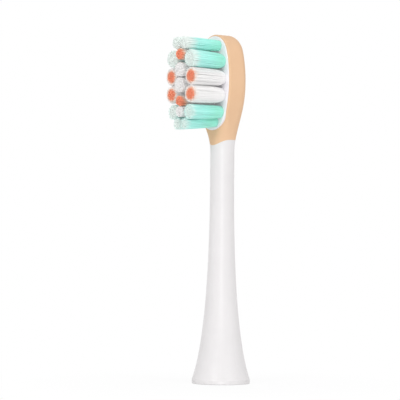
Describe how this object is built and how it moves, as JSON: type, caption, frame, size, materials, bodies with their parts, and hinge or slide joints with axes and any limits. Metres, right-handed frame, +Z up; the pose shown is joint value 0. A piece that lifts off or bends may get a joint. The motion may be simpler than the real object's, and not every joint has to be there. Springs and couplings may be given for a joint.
{
  "type": "electric toothbrush head",
  "caption": "Push-on sonic toothbrush head: flared white neck, tan oval shell and a white plate of teal and white tufts with orange tips.",
  "frame": {"origin": "centre of the base rim's plane, on the neck's axis", "axes": "+Z up along the neck, bristles face -Y, X across the head"},
  "size_m": [0.013, 0.0192, 0.0778],
  "materials": {
    "white_plastic": "satin",
    "tan_plastic": "satin",
    "plate_plastic": "satin",
    "sleeve_plastic": "moulded",
    "clip_steel": "rolled strip",
    "teal_bristle": "nylon filament, fading to clear grey at the tips",
    "white_bristle": "nylon filament",
    "orange_tip_bristle": "nylon filament with dyed orange tips"
  },
  "bodies": {
    "root": {"neck_shell": "white_plastic", "head_shell": "tan_plastic", "bristle_plate": "plate_plastic", "drive_sleeve": "sleeve_plastic", "spring_clip": "clip_steel", "tuft_top_left": "teal_bristle", "tuft_top_right": "teal_bristle", "tuft_foot_left": "teal_bristle", "tuft_foot_right": "teal_bristle", "tuft_left_1": "teal_bristle", "tuft_right_1": "teal_bristle", "tuft_left_4": "teal_bristle", "tuft_right_4": "teal_bristle", "tuft_left_2": "orange_tip_bristle", "tuft_right_2": "orange_tip_bristle", "tuft_left_3": "orange_tip_bristle", "tuft_right_3": "orange_tip_bristle", "tuft_centre_1": "orange_tip_bristle", "tuft_centre_4": "orange_tip_bristle", "tuft_centre_2": "white_bristle", "tuft_centre_3": "white_bristle", "tuft_centre_5": "white_bristle"}
  },
  "joints": []
}
